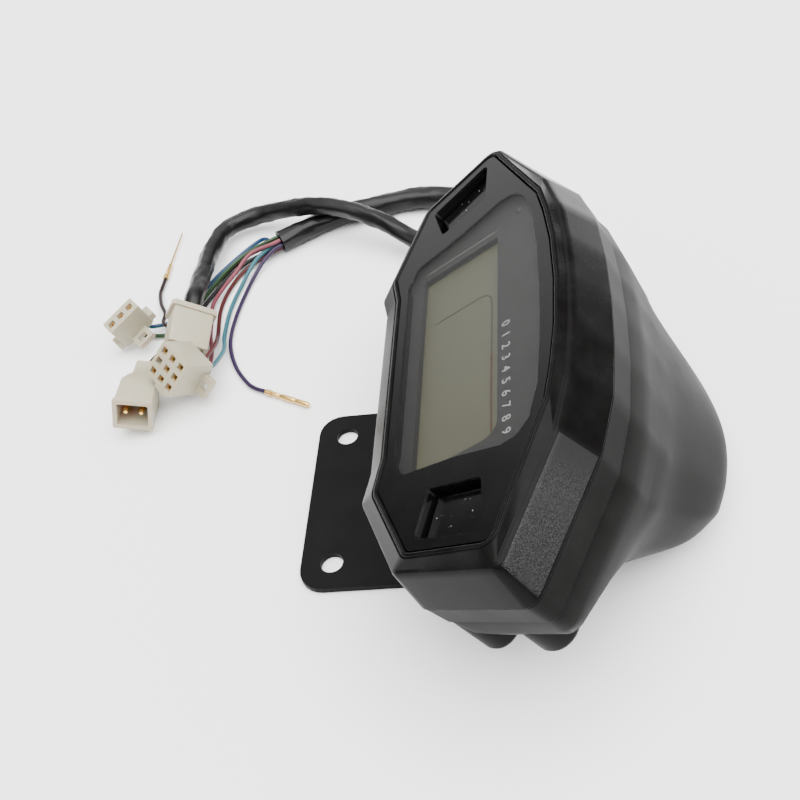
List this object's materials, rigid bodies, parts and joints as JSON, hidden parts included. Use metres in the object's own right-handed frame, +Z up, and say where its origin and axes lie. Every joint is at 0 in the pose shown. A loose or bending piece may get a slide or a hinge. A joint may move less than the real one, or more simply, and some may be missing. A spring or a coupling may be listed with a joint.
{
  "type": "motorcycle instrument cluster",
  "caption": "Digital motorcycle instrument cluster with a gloss lens, corner push buttons, a stepped rear cowl, a mounting bracket and a wired harness.",
  "frame": {"origin": "on the underside of the bracket's flat plate, on its centre line, under the display", "axes": "+X to the rider's right across the display, +Y away from the rider, +Z up from the plate"},
  "size_m": [0.2515, 0.2272, 0.087],
  "materials": {
    "shell_black": "fine-grained moulded black",
    "lens_gloss": "polished smoke-black",
    "rubber": "matt",
    "lcd": "green-grey display glass",
    "film": "satin film",
    "white_plastic": "diffusing white",
    "circuit_board": "solder mask",
    "chip": "moulded black",
    "screw_steel": "zinc plated",
    "bracket_steel": "black powder coat",
    "nylon": "translucent natural nylon",
    "brass": "plain stamped",
    "vinyl_black": "soft vinyl",
    "wire_blue": "vinyl insulation",
    "wire_violet": "vinyl insulation",
    "wire_green": "vinyl insulation",
    "wire_pink": "vinyl insulation",
    "wire_red": "vinyl insulation",
    "wire_light_blue": "vinyl insulation",
    "wire_black": "vinyl insulation",
    "wire_brown": "vinyl insulation"
  },
  "bodies": {
    "housing": {"bracket": "bracket_steel", "bracket_screw_left": "screw_steel", "bracket_screw_right": "screw_steel", "cable_grommet_a": "rubber", "cable_grommet_b": "rubber", "conn_nine": "nylon", "conn_six": "nylon", "conn_three": "nylon", "conn_two": "nylon", "front_bezel": "shell_black", "housing_gasket": "rubber", "housing_screw_1": "screw_steel", "housing_screw_2": "screw_steel", "housing_screw_3": "screw_steel", "housing_screw_4": "screw_steel", "lcd_frame": "white_plastic", "lcd_glass": "lcd", "lens": "lens_gloss", "lens_gasket": "rubber", "light_guide": "white_plastic", "main_pcb": "circuit_board", "mask_plate": "shell_black", "mcu_chip": "chip", "middle_frame": "shell_black", "pcb_header": "white_plastic", "pin_two_1": "brass", "pin_two_2": "brass", "polarizer": "film", "rear_cowl": "shell_black", "sheath_a": "vinyl_black", "sheath_b": "vinyl_black", "tact_switch_left": "chip", "tact_switch_right": "chip", "terminal_brown": "brass", "terminal_violet": "brass", "wire_black": "wire_black", "wire_blue": "wire_blue", "wire_brown": "wire_brown", "wire_green": "wire_green", "wire_light_blue": "wire_light_blue", "wire_pink": "wire_pink", "wire_red": "wire_red", "wire_violet": "wire_violet", "zebra_strip": "rubber", "contact_nine_1": "brass", "contact_nine_2": "brass", "contact_nine_3": "brass", "contact_nine_4": "brass", "contact_nine_5": "brass", "contact_nine_6": "brass", "contact_nine_7": "brass", "contact_nine_8": "brass", "contact_three_1": "brass", "contact_three_2": "brass", "contact_three_3": "brass"},
    "button_left": {"button_left": "lens_gloss"},
    "button_right": {"button_right": "lens_gloss"}
  },
  "joints": [
    {"name": "button_left_press", "type": "slide", "parent": "housing", "child": "button_left", "axis": [0, 0.515, -0.8572], "range_m": [0, 0.001], "stiffness_N_per_m": 500, "springref_m": -0.001},
    {"name": "button_right_press", "type": "slide", "parent": "housing", "child": "button_right", "axis": [0, 0.515, -0.8572], "range_m": [0, 0.001], "stiffness_N_per_m": 500, "springref_m": -0.001}
  ]
}
